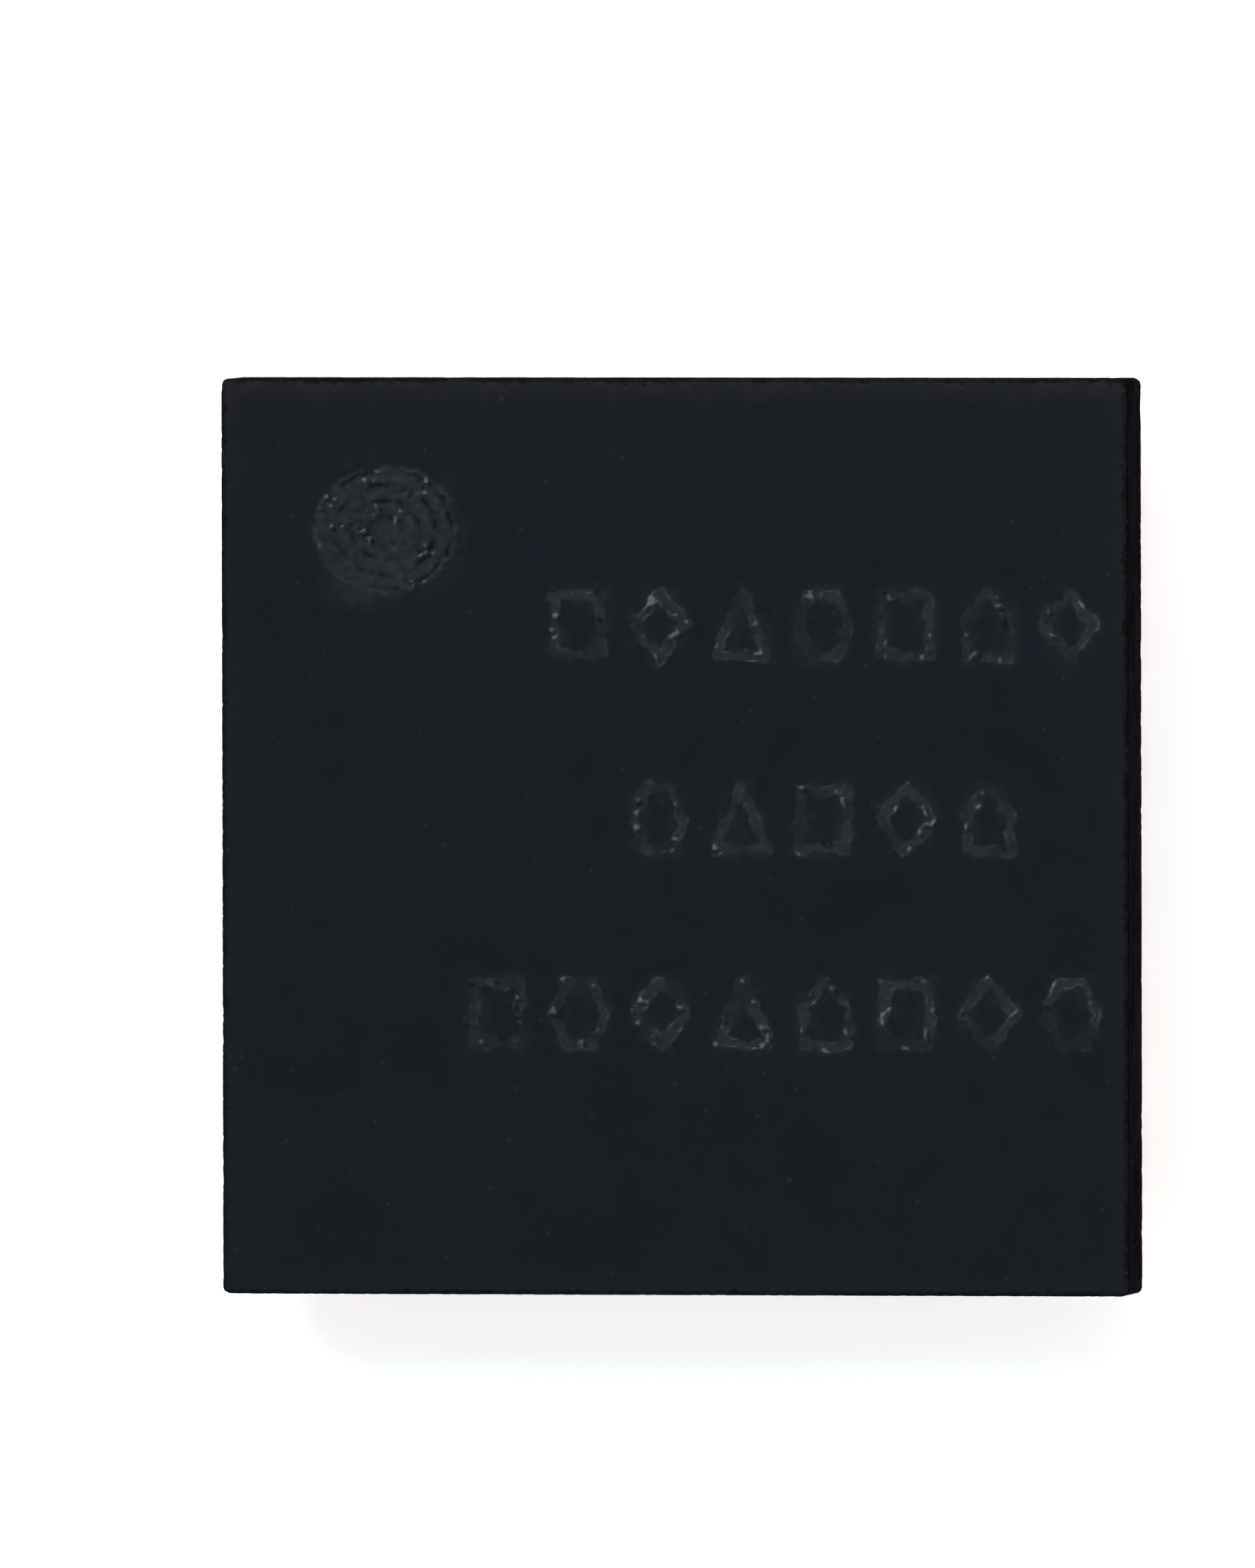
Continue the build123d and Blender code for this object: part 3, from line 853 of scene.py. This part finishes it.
class CHIP_OT_die(Operator):
    """Add the sawn silicon die, with the step round its ball side"""

    bl_idname = "chip.die"
    bl_label = "Silicon die"

    def execute(self, context):
        settings = context.scene.chip_die
        inset, height = settings.step_inset / MM, settings.step_height / MM
        ready()
        bpy.ops.mesh.primitive_plane_add(size=2 * HALF, location=(0, 0, die_high.z))
        die = added("die")
        bpy.ops.mesh.select_mode(type="EDGE")
        bpy.ops.mesh.select_all(action="SELECT")
        bpy.ops.mesh.subdivide(number_cuts=7)
        choose_rim(die)
        bpy.ops.mesh.subdivide(number_cuts=34)
        choose_rim(die)
        draw_down(die_high.z - die_low.z - height, 30)
        shrink = (HALF - inset) / HALF
        bpy.ops.mesh.extrude_edges_move(TRANSFORM_OT_translate={"value": (0, 0, 0)})
        bpy.ops.transform.resize(value=(shrink, shrink, 1))
        draw_down(height, 4)
        bpy.ops.mesh.edge_face_add()
        bpy.ops.mesh.select_all(action="SELECT")
        bpy.ops.mesh.normals_make_consistent(inside=False)
        bpy.ops.object.mode_set(mode="OBJECT")
        corner = context.scene.chip_film.corner_radius / MM
        round_corners(die, HALF, corner)

        step_top = die_low.z + height
        weigh(
            die,
            "lines",
            lambda p: (die_low.z + 1e-4 < p.z < die_high.z - 1e-4)
            * (
                0.30 * rough(Vector((p.x * 0.8, p.y * 0.8, p.z * 30)), 1.0, 41)
                + 0.35 * step(0.45, 0.75, crumbled(p, 0.055, 43))
            ),
        )
        weigh(
            die,
            "chips",
            lambda p: (
                (1 - step(0.0, 0.030 * crumbled(p, 0.06, 47) + 0.006, abs(p.z - step_top)))
                * step(0.50, 0.72, crumbled(Vector((p.x, p.y, 0)), 0.045, 49))
            ),
        )
        press(die, "lines", settings.saw_depth / MM)
        press(die, "chips", settings.saw_depth / MM)
        hand_over(die, silicon_material(settings), ["silicon_die"], 50)
        return {"FINISHED"}


class CHIP_OT_polyimide(Operator):
    """Add the polyimide, embossed over the copper and dimpled over each via"""

    bl_idname = "chip.polyimide"
    bl_label = "Polyimide"

    def execute(self, context):
        settings = context.scene.chip_polyimide
        bare_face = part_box("ground_plane")[0].z / MM
        sheet = copy_of("upper_polyimide", "polyimide")
        bpy.ops.mesh.dissolve_limited(angle_limit=math.radians(0.5))
        bpy.ops.object.mode_set(mode="OBJECT")
        edge = sheet.modifiers.new("edges", "BEVEL")
        edge.width = settings.edge_round / MM
        edge.segments = 2
        edge.limit_method = "ANGLE"
        edge.angle_limit = math.radians(30)
        bpy.ops.object.modifier_apply(modifier="edges")

        # the vias end on the bond pads, so each pad marks a dimple
        copy_of("bond_pads", "pads")
        bpy.ops.mesh.separate(type="LOOSE")
        bpy.ops.object.mode_set(mode="OBJECT")
        bpy.ops.object.origin_set(type="ORIGIN_GEOMETRY", center="BOUNDS")
        vias = [Vector((pad.location.x, pad.location.y, sheet_low.z)) for pad in context.selected_objects]
        bpy.ops.object.delete()

        radius, depth = settings.dimple_radius / MM, settings.dimple_depth / MM
        stamp_radius = (radius * radius + depth * depth) / (2 * depth)
        stamps = []
        for via in vias:
            bpy.ops.mesh.primitive_uv_sphere_add(
                segments=32, ring_count=32, radius=stamp_radius, location=via + Vector((0, 0, depth - stamp_radius))
            )
            stamps.append(context.object)
        for stamp in stamps:
            stamp.select_set(True)
        bpy.ops.object.join()
        stamp = context.object
        take(sheet)
        dent = sheet.modifiers.new("dimples", "BOOLEAN")
        dent.object = stamp
        dent.operation = "DIFFERENCE"
        bpy.ops.object.modifier_apply(modifier="dimples")
        bpy.data.objects.remove(stamp)

        def dimple(p):
            in_dimple = sheet_low.z + depth * 0.04 < p.z < sheet_low.z + depth * 1.1
            return float(in_dimple and any((p - via).length < radius * 1.05 for via in vias))

        note(sheet, "dimple", dimple)
        material = polyimide_material(settings, "polyimide", sheet_low.z, bare_face, sheet_high.x)
        hand_over(sheet, material, ["upper_polyimide"], 30)
        # keeps the flat faces flat beside their rounded edges
        take(sheet)
        even = sheet.modifiers.new("normals", "WEIGHTED_NORMAL")
        even.keep_sharp = True
        bpy.ops.object.modifier_apply(modifier="normals")
        ready()
        return {"FINISHED"}


class CHIP_OT_balls(Operator):
    """Add the solder balls, each with its own crinkles"""

    bl_idname = "chip.balls"
    bl_label = "Solder balls"

    def execute(self, context):
        settings = context.scene.chip_balls
        height = BALL_HEIGHT
        radius = (height * height + (settings.top_radius / MM) ** 2) / (2 * height)
        ready()
        bpy.ops.mesh.primitive_ico_sphere_add(
            subdivisions=settings.smoothness, radius=radius, location=(0, 0, radius)
        )
        pattern = added("ball")
        bpy.ops.mesh.select_all(action="SELECT")
        bpy.ops.mesh.bisect(
            plane_co=(0, 0, height), plane_no=(0, 0, 1), use_fill=True, clear_outer=True, threshold=1e-6
        )
        bpy.ops.object.mode_set(mode="OBJECT")
        tin = tin_material(settings)
        depth, size = settings.crinkle / MM, settings.facet / MM

        for node in BALL_NODES:
            low, high = (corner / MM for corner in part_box(node))
            middle = Vector(((low.x + high.x) / 2, (low.y + high.y) / 2, 0))
            ball = pattern.copy()
            ball.data = pattern.data.copy()
            ball.name = ball.data.name = "ball_" + node.rsplit("_", 1)[1]
            context.scene.collection.objects.link(ball)
            take(ball)
            ball.location = middle
            bpy.ops.object.transform_apply(location=True, rotation=False, scale=False)

            note(ball, "facet", lambda p: facet_shade(p, size))
            # how close each place is to a fold, which the material paints darker as shade
            note(ball, "fold", lambda p: fold(p, size))
            weigh(
                ball,
                "crinkle",
                lambda p: (p.z < height - 1e-4)
                * step(0, 0.010, p.z)
                * (0.40 * fold(p, size) + 0.35 * facet_shade(p, size) + 0.25 * rough(p, 0.090, 3)),
            )
            press(ball, "crinkle", depth)
            hand_over(ball, tin, [node], 60)
        bpy.data.objects.remove(pattern)
        return {"FINISHED"}


class CHIP_OT_metals(Operator):
    """Finish the copper, the pads and the lower polyimide, which keep their CAD shapes"""

    bl_idname = "chip.metals"
    bl_label = "Copper and pads"

    def execute(self, context):
        copper = metal_material("copper", (0.80, 0.36, 0.17), (0.25, 0.4))
        under_bump = metal_material("under_bump_metal", (0.72, 0.45, 0.33), (0.3, 0.45))
        bond = metal_material("bond_pad_metal", (0.75, 0.75, 0.76), (0.2, 0.35))
        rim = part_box("lower_polyimide")[1].x / MM
        sheet = polyimide_material(context.scene.chip_polyimide, "lower_polyimide", 0.0, -1.0, rim)
        for node, slot, material in (
            ("ground_plane", "copper", copper),
            ("supply_planes", "copper", copper),
            ("signal_traces", "copper", copper),
            ("under_bump_pads", "under_bump_metal", under_bump),
            ("bond_pads", "bond_pad_metal", bond),
            ("lower_polyimide", "polyimide", sheet),
        ):
            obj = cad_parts[node]
            obj.data.materials.clear()
            obj.data.materials.append(material)
        return {"FINISHED"}


class CHIP_OT_stage(Operator):
    """Add the pale floor, the soft lamps and the camera"""

    bl_idname = "chip.stage"
    bl_label = "Stage"

    def execute(self, context):
        settings = context.scene.chip_stage
        ready()
        bpy.ops.mesh.primitive_circle_add(vertices=96, radius=0.060, fill_type="NGON", location=(0, 0, 0))
        floor = bpy.context.object
        floor.name = "floor"
        floor.data.materials.append(floor_material(tuple(settings.floor_colour)))

        world = bpy.data.worlds.new("surround")
        context.scene.world = world
        world.use_nodes = True
        tree = world.node_tree
        tree.nodes.clear()
        output = tree.nodes.new("ShaderNodeOutputWorld")
        level = spread(tree, seen_directly(tree), 0.0, 1.0, 0.55, 1.0)
        light = make_node(tree, "ShaderNodeBackground", {"Color": (1, 1, 1, 1), "Strength": level})
        tree.links.new(light.outputs[0], output.inputs["Surface"])

        for name, place, size, power in (
            ("key", (-0.016, 0.020, 0.030), 0.022, 0.0063),
            ("fill", (0.026, -0.010, 0.022), 0.026, 0.0026),
            ("back", (0.004, 0.030, 0.016), 0.020, 0.0028),
        ):
            lamp = bpy.data.lights.new(name, "AREA")
            lamp.shape = "DISK"
            lamp.size = size
            lamp.energy = power
            obj = bpy.data.objects.new(name, lamp)
            context.scene.collection.objects.link(obj)
            obj.location = place
            obj.rotation_euler = (Vector((0, 0, 0)) - Vector(place)).to_track_quat("-Z", "Y").to_euler()
            obj.visible_camera = False

        camera_data = bpy.data.cameras.new("camera")
        camera_data.lens = settings.lens
        camera_data.clip_start = 0.001
        camera_data.clip_end = 1.0
        distance = PHOTO_HEIGHT * settings.pixel / camera_data.sensor_width * settings.lens
        back = Vector((math.tan(settings.tilt_right), math.tan(settings.tilt_up), 1)).normalized()
        right = Vector((0, 1, 0)).cross(back).normalized()
        # leaning two ways slants the chip's edges, and a slight roll shares that slant between them
        right.rotate(Quaternion(back, -settings.tilt_right * settings.tilt_up / 2))
        up = back.cross(right)
        face = Vector((0, 0, film_high.z * MM))
        target = face - right * FACE_RIGHT * settings.pixel + up * FACE_UNDER * settings.pixel
        camera = bpy.data.objects.new("camera", camera_data)
        context.scene.collection.objects.link(camera)
        camera.matrix_world = Matrix.Translation(target + back * distance) @ Matrix(
            (right, up, back)
        ).transposed().to_4x4()
        context.scene.camera = camera
        context.scene.view_settings.view_transform = "Standard"
        return {"FINISHED"}


class CHIP_PT_parts(Panel):
    """Lists the steps and their settings"""

    bl_label = "Display driver chip"
    bl_idname = "CHIP_PT_parts"
    bl_space_type = "VIEW_3D"
    bl_region_type = "UI"
    bl_category = "Chip"

    def draw(self, context):
        layout = self.layout
        for operator in OPERATORS:
            layout.operator(operator.bl_idname)
        for name, group in SETTINGS.items():
            box = layout.box()
            box.label(text=group.__doc__)
            for key in group.__annotations__:
                box.prop(getattr(context.scene, name), key)


SETTINGS = {
    "chip_film": FilmSettings,
    "chip_die": DieSettings,
    "chip_polyimide": PolyimideSettings,
    "chip_balls": BallSettings,
    "chip_stage": StageSettings,
}
OPERATORS = (CHIP_OT_stage, CHIP_OT_film, CHIP_OT_die, CHIP_OT_polyimide, CHIP_OT_balls, CHIP_OT_metals)


def register():
    for group in SETTINGS.values():
        bpy.utils.register_class(group)
    for operator in OPERATORS:
        bpy.utils.register_class(operator)
    bpy.utils.register_class(CHIP_PT_parts)
    for name, group in SETTINGS.items():
        setattr(bpy.types.Scene, name, PointerProperty(type=group))


def unregister():
    for name in SETTINGS:
        delattr(bpy.types.Scene, name)
    bpy.utils.unregister_class(CHIP_PT_parts)
    for operator in reversed(OPERATORS):
        bpy.utils.unregister_class(operator)
    for group in reversed(list(SETTINGS.values())):
        bpy.utils.unregister_class(group)


def main():
    register()
    bpy.ops.chip.stage()
    bpy.ops.chip.film()
    bpy.ops.chip.die()
    bpy.ops.chip.polyimide()
    bpy.ops.chip.balls()
    bpy.ops.chip.metals()


if __name__ == "__main__":
    main()
